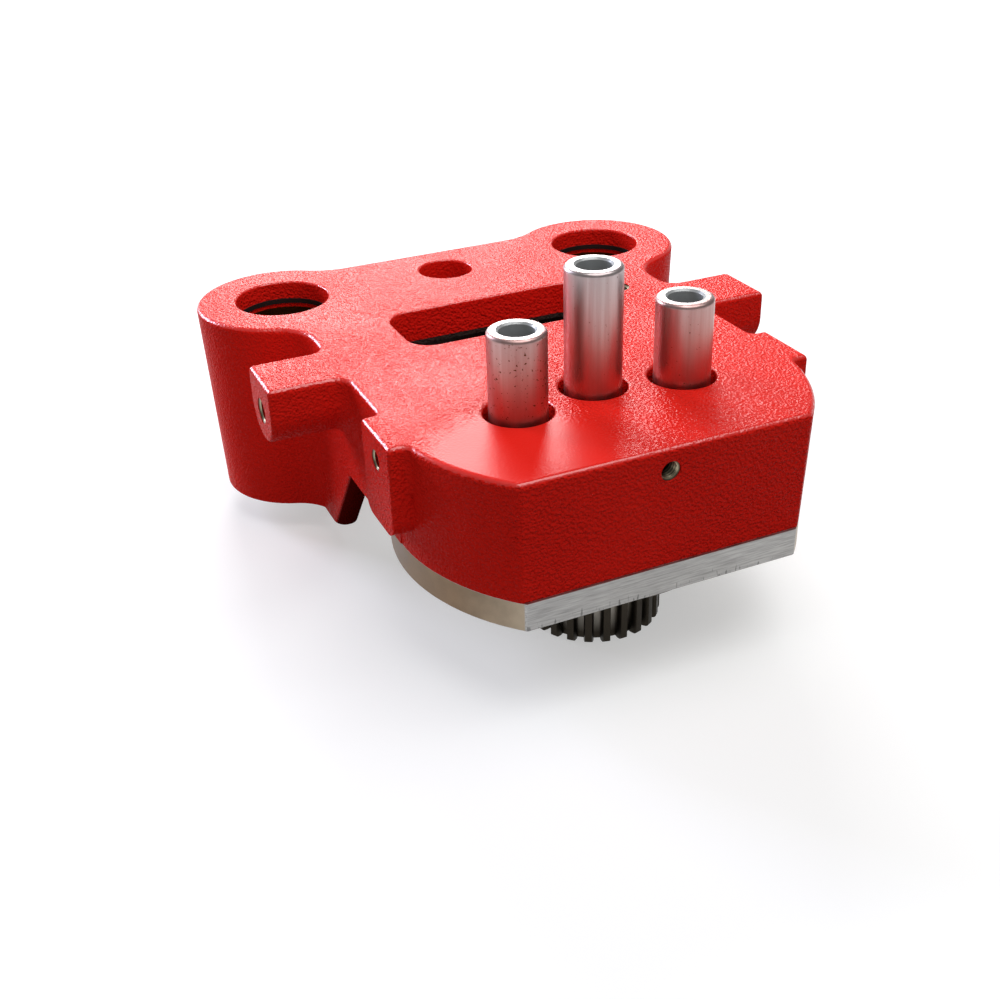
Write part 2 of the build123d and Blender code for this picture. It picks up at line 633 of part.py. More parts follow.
def hub_washer():
    washer = rod(HUB_RECESS_D / 2 - SEAT_GAP, WASHER_BOTTOM, WASHER_TOP)
    washer -= rod(HUB_SCREW_D / 2 + SLIP, WASHER_BOTTOM - OVERCUT, WASHER_TOP + OVERCUT)
    return washer - screw_cone(SLIP)


def hub_screw():
    screw = screw_cone(0.0) + rod(HUB_SCREW_D / 2, WASHER_BOTTOM, HUB_SCREW_TOP)
    hexagon = RegularPolygon(HUB_SCREW_SOCKET_D / 2, 6, major_radius=False)
    key = extrude(hexagon, amount=HUB_SCREW_SOCKET_DEPTH + OVERCUT)
    return screw - Pos(0, 0, WASHER_BOTTOM - OVERCUT) * key


def nodes():
    """Every piece of the head, by its name."""
    found = {
        "gear_housing": gear_housing(),
        "flange_plate": flange_plate(),
        "plate_screws": plate_screws(),
        "plate_dowels": plate_dowels(),
        "shaft_seal": shaft_seal(),
        "left_spindle": spindle(PLACES["left"], SIDE_SPINDLE_OUT, SIDE_SHAFT_END),
        "middle_spindle": drive_spindle(),
        "right_spindle": spindle(PLACES["right"], SIDE_SPINDLE_OUT, SIDE_SHAFT_END),
        "left_gear": spur_gear(PLACES["left"], meshed_tooth(-1)),
        "middle_gear": spur_gear(PLACES["middle"], 270),
        "right_gear": spur_gear(PLACES["right"], meshed_tooth(1)),
        "coupling_hub": coupling_hub(),
        "hub_key": key_block((0, 0), HUB_SEAT_R, HUB_KEY_BOTTOM, HUB_KEY_L),
        "hub_washer": hub_washer(),
        "hub_screw": hub_screw(),
    }
    for side, name in ((-1, "left"), (1, "right")):
        at = (side * COLUMN_HALF_SPACING, COLUMN_SETBACK)
        found[name + "_guide_bush"] = guide_bush(at)
        found[name + "_wiper_ring"] = wiper_ring(at)
        found[name + "_bush_ring"] = bush_ring(at)
    for name, at in PLACES.items():
        found[name + "_gear_key"] = key_block(at, SHAFT_R, GEAR_KEY_BOTTOM, KEY_L)
        found[name + "_upper_spacer"] = sleeve(INNER_RING_R, SHAFT_R + SLIP, GEAR_TOP, CHAMBER_TOP, at)
        found[name + "_lower_spacer"] = sleeve(INNER_RING_R, SHAFT_R + SLIP, PLATE_T, GEAR_BOTTOM, at)
        found[name + "_shaft_ring"] = shaft_ring(at)
        for level, bottom in (("upper", CHAMBER_TOP), ("lower", LOWER_BEARING_BOTTOM)):
            bearing = name + "_" + level + "_bearing_"
            found[bearing + "outer"] = outer_ring(at, bottom)
            found[bearing + "inner"] = inner_ring(at, bottom)
            found[bearing + "balls"] = ball_set(at, bottom)
    return found


os.makedirs("parts", exist_ok=True)
for node, shape in nodes().items():
    piece = Compound(children=shape) if isinstance(shape, list) else shape
    export_step(piece, "parts/" + node + ".step")
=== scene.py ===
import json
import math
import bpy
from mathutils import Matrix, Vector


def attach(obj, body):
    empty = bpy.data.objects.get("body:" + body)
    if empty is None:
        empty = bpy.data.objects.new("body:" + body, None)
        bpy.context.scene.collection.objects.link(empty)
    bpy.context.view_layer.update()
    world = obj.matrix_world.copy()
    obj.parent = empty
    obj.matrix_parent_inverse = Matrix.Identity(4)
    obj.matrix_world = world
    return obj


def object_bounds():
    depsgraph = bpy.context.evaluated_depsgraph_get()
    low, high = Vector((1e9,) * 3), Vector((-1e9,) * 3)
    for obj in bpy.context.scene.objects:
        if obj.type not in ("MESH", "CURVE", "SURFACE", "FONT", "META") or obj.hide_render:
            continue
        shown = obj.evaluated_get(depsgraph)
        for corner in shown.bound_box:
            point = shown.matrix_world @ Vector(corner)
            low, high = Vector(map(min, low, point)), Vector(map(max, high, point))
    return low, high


bl_info = {
    "name": "Three-spindle drilling head",
    "version": (1, 0, 0),
    "blender": (4, 5, 0),
    "location": "3D View > Sidebar > Drilling head",
    "description": "Finishes, tapped threads, stage and camera of a three-spindle drilling head",
    "category": "Object",
}

import bpy
from bpy.props import FloatProperty, FloatVectorProperty, IntProperty, PointerProperty
from mathutils import Matrix, Vector

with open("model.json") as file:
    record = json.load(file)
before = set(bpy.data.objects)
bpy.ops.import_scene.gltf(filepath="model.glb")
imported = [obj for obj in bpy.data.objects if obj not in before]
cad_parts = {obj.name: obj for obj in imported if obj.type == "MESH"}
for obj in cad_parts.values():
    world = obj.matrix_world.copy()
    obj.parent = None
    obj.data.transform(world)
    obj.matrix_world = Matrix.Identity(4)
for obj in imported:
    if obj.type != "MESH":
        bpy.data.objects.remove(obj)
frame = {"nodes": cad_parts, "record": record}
CAD_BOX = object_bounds()
MM = 0.001

# Nearly all of a noise texture lies between these two values.
NOISE_LOW, NOISE_HIGH = 0.3, 0.7


def linear(hex_colour):
    """Linear RGBA of an sRGB hex colour."""
    channels = [int(hex_colour[i:i + 2], 16) / 255 for i in (1, 3, 5)]
    flat = [c / 12.92 if c <= 0.04045 else ((c + 0.055) / 1.055) ** 2.4 for c in channels]
    return (*flat, 1.0)


def add_node(tree, kind, inputs=None, **settings):
    """Adds a node, sets its properties, and sets or links its inputs by socket name or number."""
    node = tree.nodes.new(kind)
    for name, value in settings.items():
        setattr(node, name, value)
    for socket, value in (inputs or {}).items():
        if isinstance(value, bpy.types.NodeSocket):
            tree.links.new(value, node.inputs[socket])
        else:
            node.inputs[socket].default_value = value
    return node


def new_material(name):
    """A material with an empty node tree, its shader and its Object coordinates."""
    material = bpy.data.materials.new(name)
    material.use_nodes = True
    tree = material.node_tree
    tree.nodes.clear()
    shader = add_node(tree, "ShaderNodeBsdfPrincipled")
    add_node(tree, "ShaderNodeOutputMaterial", {"Surface": shader.outputs[0]})
    place = add_node(tree, "ShaderNodeTexCoord").outputs["Object"]
    return material, tree, shader, place


def spots_per_metre(size_mm):
    """Scale of a texture whose cells are this many millimetres across."""
    return 1 / (size_mm * MM)


def clouded_material(name, cloud_mm, detail, dark, light, metallic, roughness):
    """A finish that drifts between two close shades in soft clouds, and is as glossy all over."""
    material, tree, shader, place = new_material(name)
    cloud = add_node(tree, "ShaderNodeTexNoise", {"Vector": place, "Scale": spots_per_metre(cloud_mm),
                                                  "Detail": detail})
    colour = add_node(tree, "ShaderNodeMix", {0: cloud.outputs["Fac"], "A": linear(dark), "B": linear(light)},
                      data_type="RGBA")
    tree.links.new(colour.outputs["Result"], shader.inputs["Base Color"])
    shader.inputs["Metallic"].default_value = metallic
    shader.inputs["Roughness"].default_value = roughness
    return material


def finish_nodes(names, material):
    """Gives CAD nodes their material."""
    for name in names:
        mesh = frame["nodes"][name].data
        mesh.materials.clear()
        mesh.materials.append(material)


def nodes_named(*endings):
    """CAD nodes whose names end in one of these words."""
    return [name for name in frame["nodes"] if name.endswith(endings)]


class HeadFinishes(bpy.types.PropertyGroup):
    """Colours and surface sizes of the drilling head."""
    enamel: FloatVectorProperty(name="Enamel", description="Red of the sprayed enamel", subtype="COLOR", size=4,
                                min=0, max=1, default=linear("#E8241A"))
    enamel_deep: FloatVectorProperty(name="Deep enamel", description="Red where the enamel lies thicker",
                                     subtype="COLOR", size=4, min=0, max=1, default=linear("#DA1E16"))
    # Painted shade: dark red for the leaning rib noses, which face down into shadow.
    nose_shade: FloatVectorProperty(name="Nose shade", description="Painted dark shade on the leaning rib noses",
                                   subtype="COLOR", size=4, min=0, max=1, default=linear("#5A0A07"))
    hollow_dark_grey: FloatVectorProperty(name="Hollow grey", description="Dark grey inside the rear hollow", subtype="COLOR", size=4,
                                   min=0, max=1, default=linear("#3A3532"))
    plate_iron: FloatVectorProperty(name="Plate iron", description="Milled iron of the flange plate",
                                    subtype="COLOR", size=4, min=0, max=1, default=linear("#A3A2A0"))
    # Painted shade: dark grey for the spigot, which faces down under the plate.
    spigot: FloatVectorProperty(name="Spigot", description="Painted shade on the turned spigot", subtype="COLOR", size=4,
                                min=0, max=1, default=linear("#5A544C"))
    plate_tan: FloatVectorProperty(name="Plate tan", description="Stained rim of the plate by its front corner",
                                   subtype="COLOR", size=4, min=0, max=1, default=linear("#A29480"))
    plate_brown: FloatVectorProperty(name="Plate brown", description="Stained rim of the plate at its left",
                                     subtype="COLOR", size=4, min=0, max=1, default=linear("#7C6853"))
    zinc: FloatVectorProperty(name="Zinc", description="Bright zinc plate of the spindles", subtype="COLOR", size=4,
                              min=0, max=1, default=linear("#B9BBBD"))
    # Partly a brown bloom, partly a painted reflection of the red deck.
    bloom_and_deck_reflection: FloatVectorProperty(name="Reflection and tint", description="Brown tint and painted reflection of the red deck on the lower spindles",
                               subtype="COLOR", size=4, min=0, max=1, default=linear("#C06A56"))
    socket: FloatVectorProperty(name="Socket", description="Bored inside of the bit sockets", subtype="COLOR", size=4,
                                min=0, max=1, default=linear("#A8AAAA"))
    rust: FloatVectorProperty(name="Rust", description="Spots of rust in the plating", subtype="COLOR", size=4,
                              min=0, max=1, default=linear("#6E4A34"))
    rim_sheen: FloatProperty(name="Rim sheen", description="Specular level of the polished rims", default=0.9,
                             min=0, max=1)
    peel_mm: FloatProperty(name="Orange peel", description="Width of one cell of the enamel's orange peel, in mm",
                           default=0.85, min=0.3, max=6)
    peel_height_mm: FloatProperty(name="Peel height", description="Height of the orange peel, in mm", default=0.5,
                                  min=0, max=1)


class HeadThreads(bpy.types.PropertyGroup):
    """Colours and sizes of the threads in the tapped holes."""
    # Painted shade: dark colour for the thread roots and the depth of the hole.
    root: FloatVectorProperty(name="Root shade", description="Painted shade in the roots of the threads", subtype="COLOR", size=4, min=0,
                              max=1, default=linear("#16110B"))
    crest: FloatVectorProperty(name="Crest", description="Bright crests of the threads", subtype="COLOR", size=4,
                               min=0, max=1, default=linear("#B9AD90"))
    small_pitch: FloatProperty(name="Small pitch", description="Pitch in the 6 mm holes", default=1.0 * MM,
                               min=0.2 * MM, max=3 * MM, unit="LENGTH", precision=5)
    large_pitch: FloatProperty(name="Large pitch", description="Pitch in the 8 mm holes", default=1.25 * MM,
                               min=0.2 * MM, max=3 * MM, unit="LENGTH", precision=5)
    steps: IntProperty(name="Steps", description="Faces round one turn", default=32, min=12, max=64)


class HeadStage(bpy.types.PropertyGroup):
    """Floor, lamps and camera."""
    floor: FloatVectorProperty(name="Floor", description="Pale floor and backdrop", subtype="COLOR", size=4, min=0,
                               max=1, default=linear("#C9C9C9"))
    floor_bounce: FloatVectorProperty(name="Floor bounce", description="Floor as it lights the piece from below",
                                      subtype="COLOR", size=4, min=0, max=1, default=linear("#9A9A9A"))
    room: FloatProperty(name="Room light", description="Strength of the even light of the room", default=0.26, min=0,
                        max=2)
    top_power: FloatProperty(name="Top lamp", description="Power of the lamp above", default=6.4, min=0, max=50,
                             subtype="POWER")
    back_power: FloatProperty(name="Back lamp", description="Power of the lamp behind", default=15.5, min=0, max=50,
                              subtype="POWER")
    rim_power: FloatProperty(name="Rim lamp", description="Power of the lamp behind on the left", default=10.5, min=0,
                             max=50, subtype="POWER")
    lamp_white: FloatVectorProperty(name="White lamp", description="Colour of the top and back lamps", subtype="COLOR",
                                    size=4, min=0, max=1, default=linear("#FFFFFF"))
    lamp_cool: FloatVectorProperty(name="Cool lamp", description="Colour of the rim lamp", subtype="COLOR",
                                   size=4, min=0, max=1, default=linear("#E2E7FF"))
    lens: FloatProperty(name="Lens", description="Focal length in mm on a 36 mm sensor", default=46.114, min=10,
                        max=200)


# Rear hollow of the casting, coloured dark grey: it ends just above the feet of the bosses.
HOLLOW_HALF_WIDTH = 53.1 * MM
HOLLOW_FRONT, HOLLOW_BACK = 47.8 * MM, 122.6 * MM
HOLLOW_FOOT, HOLLOW_ROOF = -19.95 * MM, 34.5 * MM
HOLLOW_ROUGHNESS = 0.6
# Front ends of the side ribs: they lean back by this much of their height, and their painted shade fades in over a
# short way.
RIB_LEAN = 0.78
RIB_SHADE_FULL, RIB_SHADE_NONE = 51.4 * MM, 52.6 * MM
RIB_TOP = 8.9 * MM
# Smooth spot at the front left of the deck, with little grain and some haze.
SPOT_CENTRE = (-35 * MM, -28 * MM, 45 * MM)
SPOT_SMOOTH_R, SPOT_GRAINY_R = 17 * MM, 33 * MM
SPOT_GRAIN, SPOT_HAZE = 0.08, 0.12
# Towards the back the grain lies flatter and the gloss is softer.
FLATTER_FROM, FLATTER_TO, BACK_GRAIN = 35 * MM, 90 * MM, 0.8
SOFTER_FROM, SOFTER_TO, BACK_HAZE = 30 * MM, 100 * MM, 0.06
# Upward share of the normal on the deck, the walls and the rounded rims between them.
DECK_UP, WALL_UP = 0.9, 0.5
RIM_UP, RIM_UP_SPREAD = 0.7, 0.2
# Specular levels and grain of these faces, and where the deck is wiped.
DECK_SHEEN, WIPED_SHEEN, WALL_SHEEN = 0.08, 0.12, 0.008
WIPED_FROM, WIPED_TO = 25 * MM, -50 * MM
WALL_GRAIN, RIM_GRAIN = 1.5, 0.3
GLOSSY_ROUGHNESS, SATIN_ROUGHNESS, RIM_ROUGHNESS = 0.2, 0.28, 0.24
# Widths of the clouds in the red and of the patches of the peel, the least grain of a patch, and the ripples' share
# of a pebble.
RED_CLOUD_MM, PATCH_MM = 28, 45
PATCH_HIGH, PATCH_GRAIN = 0.65, 0.6
RIPPLE_SHARE = 0.8


class DRILLHEAD_OT_enamel_casting(bpy.types.Operator):
    """Sprays the casting with glossy red enamel and colours its rear hollow dark grey"""
    bl_idname = "drill_head.enamel_casting"
    bl_label = "Enamel the casting"

    def execute(self, context):
        look = context.scene.drill_head_finishes
        # Oil enamel sprayed on a rough casting: a glossy skin with orange peel, thicker in places.
        material, tree, shader, place = new_material("red_oil_enamel")
        axes = add_node(tree, "ShaderNodeSeparateXYZ", {0: place})
        cloud = add_node(tree, "ShaderNodeTexNoise", {"Vector": place, "Scale": spots_per_metre(RED_CLOUD_MM),
                                                      "Detail": 3.0})
        paint = add_node(tree, "ShaderNodeMix", {0: cloud.outputs["Fac"], "A": look.enamel, "B": look.enamel_deep},
                         data_type="RGBA")

        # The leaning front ends of the side ribs face down into shadow: their red is painted dark as shade.
        lean = add_node(tree, "ShaderNodeMath", {0: axes.outputs["Z"], 1: RIB_LEAN, 2: axes.outputs["Y"]},
                        operation="MULTIPLY_ADD")
        nose_shaded = add_node(tree, "ShaderNodeMapRange", {"Value": lean.outputs[0], "From Min": RIB_SHADE_NONE,
                                                     "From Max": RIB_SHADE_FULL})
        hanging = add_node(tree, "ShaderNodeMath", {0: axes.outputs["Z"], 1: RIB_TOP}, operation="LESS_THAN")
        nose_shaded = add_node(tree, "ShaderNodeMath", {0: nose_shaded.outputs[0], 1: hanging.outputs[0]}, operation="MULTIPLY")
        paint = add_node(tree, "ShaderNodeMix", {0: nose_shaded.outputs[0], "A": paint.outputs["Result"],
                                                 "B": look.nose_shade}, data_type="RGBA")

        # The inside of the rear hollow is coloured dark grey.
        half_width = add_node(tree, "ShaderNodeMath", {0: axes.outputs["X"]}, operation="ABSOLUTE")
        limits = ((half_width.outputs[0], "LESS_THAN", HOLLOW_HALF_WIDTH),
                  (axes.outputs["Y"], "GREATER_THAN", HOLLOW_FRONT), (axes.outputs["Y"], "LESS_THAN", HOLLOW_BACK),
                  (axes.outputs["Z"], "GREATER_THAN", HOLLOW_FOOT), (axes.outputs["Z"], "LESS_THAN", HOLLOW_ROOF))
        hollow = 1.0
        for value, test, limit in limits:
            within = add_node(tree, "ShaderNodeMath", {0: value, 1: limit}, operation=test)
            hollow = add_node(tree, "ShaderNodeMath", {0: hollow, 1: within.outputs[0]},
                              operation="MULTIPLY").outputs[0]
        colour = add_node(tree, "ShaderNodeMix", {0: hollow, "A": paint.outputs["Result"], "B": look.hollow_dark_grey},
                          data_type="RGBA")

        # Orange peel: pebbles with finer ripples.
        pebble = add_node(tree, "ShaderNodeTexVoronoi", {"Vector": place, "Scale": spots_per_metre(look.peel_mm),
                                                         "Randomness": 1.0, "Smoothness": 0.9}, feature="SMOOTH_F1")
        ripple = add_node(tree, "ShaderNodeTexNoise",
                          {"Vector": place, "Scale": spots_per_metre(look.peel_mm * RIPPLE_SHARE), "Detail": 1.5})
        peel = add_node(tree, "ShaderNodeMath", {0: pebble.outputs["Distance"], 1: ripple.outputs["Fac"]},
                        operation="ADD")

        # The walls are as they were cast: rougher under the coat and less glossy than the milled deck.
        facing = add_node(tree, "ShaderNodeNewGeometry")
        normal = add_node(tree, "ShaderNodeSeparateXYZ", {0: facing.outputs["True Normal"]})
        wall = add_node(tree, "ShaderNodeMapRange", {"Value": normal.outputs["Z"], "From Min": DECK_UP,
                                                     "From Max": WALL_UP})
        grain = add_node(tree, "ShaderNodeMapRange", {"Value": wall.outputs[0], "To Min": 1.0, "To Max": WALL_GRAIN})
        height = add_node(tree, "ShaderNodeMath", {0: grain.outputs[0], 1: look.peel_height_mm * MM},
                          operation="MULTIPLY")

        # Handling has polished the rounded rims, so they catch the light.
        rim = add_node(tree, "ShaderNodeMath", {0: normal.outputs["Z"], 1: RIM_UP, 2: RIM_UP_SPREAD},
                       operation="COMPARE")
        worn = add_node(tree, "ShaderNodeMapRange", {"Value": rim.outputs[0], "To Min": 1.0, "To Max": RIM_GRAIN})

        # The peel lies flatter where the coat ran together: in patches, on the smooth spot and towards the back.
        patch = add_node(tree, "ShaderNodeTexNoise", {"Vector": place, "Scale": spots_per_metre(PATCH_MM),
                                                      "Detail": 2.0})
        patchy = add_node(tree, "ShaderNodeMapRange", {"Value": patch.outputs["Fac"], "From Min": NOISE_LOW,
                                                       "From Max": PATCH_HIGH, "To Min": PATCH_GRAIN, "To Max": 1.0})
        from_spot = add_node(tree, "ShaderNodeVectorMath", {0: place, 1: SPOT_CENTRE}, operation="DISTANCE")
        off_spot = add_node(tree, "ShaderNodeMapRange", {"Value": from_spot.outputs["Value"],
                                                         "From Min": SPOT_SMOOTH_R, "From Max": SPOT_GRAINY_R,
                                                         "To Min": SPOT_GRAIN, "To Max": 1.0},
                            interpolation_type="SMOOTHSTEP")
        off_spot = add_node(tree, "ShaderNodeMath", {0: off_spot.outputs[0], 1: wall.outputs[0]}, operation="MAXIMUM")
        backwards = add_node(tree, "ShaderNodeMapRange", {"Value": axes.outputs["Y"], "From Min": FLATTER_FROM,
                                                          "From Max": FLATTER_TO, "To Min": 1.0,
                                                          "To Max": BACK_GRAIN})
        strength = off_spot.outputs[0]
        for share in (patchy, backwards, worn):
            strength = add_node(tree, "ShaderNodeMath", {0: strength, 1: share.outputs[0]},
                                operation="MULTIPLY").outputs[0]
        bump = add_node(tree, "ShaderNodeBump", {"Height": peel.outputs[0], "Strength": strength,
                                                 "Distance": height.outputs[0]})

        # Wiping has left the left of the deck glossier than its right. The painted shade on the rib noses has no
        # gloss.
        wiped = add_node(tree, "ShaderNodeMapRange", {"Value": axes.outputs["X"], "From Min": WIPED_FROM,
                                                      "From Max": WIPED_TO})
        deck_sheen = add_node(tree, "ShaderNodeMapRange", {"Value": wiped.outputs[0], "To Min": DECK_SHEEN,
                                                           "To Max": WIPED_SHEEN})
        sheen = add_node(tree, "ShaderNodeMix", {0: wall.outputs[0], "A": deck_sheen.outputs[0], "B": WALL_SHEEN})
        sheen = add_node(tree, "ShaderNodeMix", {0: rim.outputs[0], "A": sheen.outputs[0], "B": look.rim_sheen})
        unshaded = add_node(tree, "ShaderNodeMath", {0: 1.0, 1: nose_shaded.outputs[0]}, operation="SUBTRACT")
        sheen = add_node(tree, "ShaderNodeMath", {0: sheen.outputs[0], 1: unshaded.outputs[0]},
                         operation="MULTIPLY")

        # The gloss drifts with the clouds and is hazier towards the back and on the smooth spot.
        gloss = add_node(tree, "ShaderNodeMapRange", {"Value": cloud.outputs["Fac"], "From Min": NOISE_LOW,
                                                      "From Max": NOISE_HIGH, "To Min": GLOSSY_ROUGHNESS,
                                                      "To Max": SATIN_ROUGHNESS})
        softer = add_node(tree, "ShaderNodeMapRange", {"Value": axes.outputs["Y"], "From Min": SOFTER_FROM,
                                                       "From Max": SOFTER_TO, "To Min": 0.0, "To Max": BACK_HAZE})
        hazy = add_node(tree, "ShaderNodeMapRange", {"Value": off_spot.outputs[0], "To Min": SPOT_HAZE, "To Max": 0.0})
        roughness = gloss.outputs[0]
        for haze in (softer, hazy):
            roughness = add_node(tree, "ShaderNodeMath", {0: roughness, 1: haze.outputs[0]},
                                 operation="ADD").outputs[0]
        for mask, level in ((rim.outputs[0], RIM_ROUGHNESS), (hollow, HOLLOW_ROUGHNESS)):
            roughness = add_node(tree, "ShaderNodeMix", {0: mask, "A": roughness, "B": level}).outputs[0]

        tree.links.new(colour.outputs["Result"], shader.inputs["Base Color"])
        tree.links.new(roughness, shader.inputs["Roughness"])
        tree.links.new(bump.outputs[0], shader.inputs["Normal"])
        tree.links.new(sheen.outputs[0], shader.inputs["Specular IOR Level"])
        shader.inputs["IOR"].default_value = 1.5
        finish_nodes(["gear_housing"], material)
        return {"FINISHED"}


# Cutter lines of the plate: width, how far they are drawn out along the front, and their shades.
LINE_MM, LINE_STRETCH = 0.5, 0.06
LINE_DARK, LINE_LIGHT = 0.68, 1.2
LINE_HEIGHT, LINE_STRENGTH = 0.05 * MM, 0.35
# Nicks: slanted strokes that come through the noise by the lower edge and stay below it higher up.
NICK_MM, NICK_SLANT, NICK_STRETCH = 0.9, math.radians(-20), 0.22
NICKS_NONE, NICKS_MOST = 5.5 * MM, 1.0 * MM
NICKS_HELD, NICKS_RAISED = -0.2, 0.06
NICK_EDGE, NICK_FULL, NICK_DARK = 0.62, 0.7, 0.5
# Stained rim: it starts behind the flat front and below the ledge, and turns from tan to brown to the left.
PLATE_RIM_FRONT, PLATE_RIM_STAINED = -43.1 * MM, -42.8 * MM
LEDGE_CLEAN, LEDGE_STAINED = 8.95 * MM, 8.85 * MM
TAN_X, BROWN_X = -43 * MM, -55 * MM
STAIN_CLOUD_MM, STAIN_DARK, STAIN_LIGHT = 9, 0.7, 1.15
PLATE_GLOSSY, PLATE_DULL = 0.32, 0.5
SPIGOT_TOP = -0.05 * MM


class DRILLHEAD_OT_finish_plate(bpy.types.Operator):
    """Mills the flange plate bare, stains its rim and paints shade on its spigot"""
    bl_idname = "drill_head.finish_plate"
    bl_label = "Finish the plate"

    def execute(self, context):
        look = context.scene.drill_head_finishes
        # Milled iron: cutter lines along the front with nicks by its lower edge, and a turned rim that has gone brown.
        material, tree, shader, place = new_material("milled_plate_iron")
        axes = add_node(tree, "ShaderNodeSeparateXYZ", {0: place})
        along = add_node(tree, "ShaderNodeMapping", {"Vector": place, "Scale": (LINE_STRETCH, 1.0, 1.0)})
        lines = add_node(tree, "ShaderNodeTexNoise", {"Vector": along.outputs[0], "Scale": spots_per_metre(LINE_MM),
                                                      "Detail": 4.0, "Roughness": 0.6})
        shade = add_node(tree, "ShaderNodeMapRange", {"Value": lines.outputs["Fac"], "From Min": NOISE_LOW,
                                                      "From Max": NOISE_HIGH, "To Min": LINE_DARK,
                                                      "To Max": LINE_LIGHT})
        upright = add_node(tree, "ShaderNodeMapping", {"Vector": place, "Rotation": (0, NICK_SLANT, 0),
                                                       "Scale": (1.0, 0.0, NICK_STRETCH)})
        strokes = add_node(tree, "ShaderNodeTexNoise", {"Vector": upright.outputs[0],
                                                        "Scale": spots_per_metre(NICK_MM), "Detail": 1.0})
        by_edge = add_node(tree, "ShaderNodeMapRange", {"Value": axes.outputs["Z"], "From Min": NICKS_NONE,
                                                        "From Max": NICKS_MOST, "To Min": NICKS_HELD,
                                                        "To Max": NICKS_RAISED})
        raised = add_node(tree, "ShaderNodeMath", {0: strokes.outputs["Fac"], 1: by_edge.outputs[0]}, operation="ADD")
        nicks = add_node(tree, "ShaderNodeMapRange", {"Value": raised.outputs[0], "From Min": NICK_EDGE,
                                                      "From Max": NICK_FULL, "To Min": 1.0, "To Max": NICK_DARK})
        shade = add_node(tree, "ShaderNodeMath", {0: shade.outputs[0], 1: nicks.outputs[0]}, operation="MULTIPLY")
        grey = add_node(tree, "ShaderNodeVectorMath", {0: look.plate_iron[:3], "Scale": shade.outputs[0]},
                        operation="SCALE")

        # The stain is mottled, and leaves the ledge under the casting and the flat front clean.
        cloud = add_node(tree, "ShaderNodeTexNoise", {"Vector": place, "Scale": spots_per_metre(STAIN_CLOUD_MM),
                                                      "Detail": 5.0})
        left = add_node(tree, "ShaderNodeMapRange", {"Value": axes.outputs["X"], "From Min": TAN_X,
                                                     "From Max": BROWN_X})
        brown = add_node(tree, "ShaderNodeMix", {0: left.outputs[0], "A": look.plate_tan, "B": look.plate_brown},
                         data_type="RGBA")
        mottle = add_node(tree, "ShaderNodeMapRange", {"Value": cloud.outputs["Fac"], "From Min": NOISE_LOW,
                                                       "From Max": NOISE_HIGH, "To Min": STAIN_DARK,
                                                       "To Max": STAIN_LIGHT})
        brown = add_node(tree, "ShaderNodeVectorMath", {0: brown.outputs["Result"], "Scale": mottle.outputs[0]},
                         operation="SCALE")
        rim = add_node(tree, "ShaderNodeMapRange", {"Value": axes.outputs["Y"], "From Min": PLATE_RIM_FRONT,
                                                    "From Max": PLATE_RIM_STAINED})
        ledge = add_node(tree, "ShaderNodeMapRange", {"Value": axes.outputs["Z"], "From Min": LEDGE_CLEAN,
                                                      "From Max": LEDGE_STAINED})
        stain = add_node(tree, "ShaderNodeMath", {0: rim.outputs[0], 1: ledge.outputs[0]}, operation="MULTIPLY")
        colour = add_node(tree, "ShaderNodeMix", {0: stain.outputs[0], "A": grey.outputs[0], "B": brown.outputs[0]},
                          data_type="RGBA")
        # The spigot under the plate faces down, so it is painted dark grey as shade.
        below = add_node(tree, "ShaderNodeMath", {0: axes.outputs["Z"], 1: SPIGOT_TOP}, operation="LESS_THAN")
        colour = add_node(tree, "ShaderNodeMix", {0: below.outputs[0], "A": colour.outputs["Result"],
                                                  "B": look.spigot}, data_type="RGBA")
        rough = add_node(tree, "ShaderNodeMapRange", {"Value": cloud.outputs["Fac"], "From Min": NOISE_LOW,
                                                      "From Max": NOISE_HIGH, "To Min": PLATE_GLOSSY,
                                                      "To Max": PLATE_DULL})
        bump = add_node(tree, "ShaderNodeBump", {"Height": lines.outputs["Fac"], "Strength": LINE_STRENGTH,
                                                 "Distance": LINE_HEIGHT})
        tree.links.new(colour.outputs["Result"], shader.inputs["Base Color"])
        tree.links.new(rough.outputs[0], shader.inputs["Roughness"])
        tree.links.new(bump.outputs[0], shader.inputs["Normal"])
        shader.inputs["Metallic"].default_value = 1.0
        finish_nodes(["flange_plate"], material)
        return {"FINISHED"}


# Bit sockets: the pale bore, and the turned lip that it ends at.
SOCKET_R, SOCKET_LIP_R, SOCKET_METAL = 5.6 * MM, 6.3 * MM, 0.35
# Bands down the spindle, drawn out along it, and lathe rings, drawn out round it.
BAND_MM, BAND_STRETCH, BAND_DARK, BAND_LIGHT = 3.2, 0.03, 0.64, 1.12
BAND_DULL, BAND_GLOSSY = 0.42, 0.28
RING_MM, RING_STRETCH, RING_HEIGHT, RING_STRENGTH = 0.5, 0.08, 0.03 * MM, 0.2
# Brown bloom, partly a painted reflection of the red deck: its full share near the deck, thinning up the spindle.
BLOOM_REFLECTION_FULL, BLOOM_REFLECTION_NONE, BLOOM_REFLECTION_SHARE = 58 * MM, 92 * MM, 0.62
# Rust specks: they start lower in the noise on the left spindle, which has more of them.
SPECK_MM, SPECK_EDGE, SPECK_ROUGHNESS = 0.9, 0.06, 0.7
SPECKS_FROM, LEFT_SPECKS_FROM = 0.71, 0.64


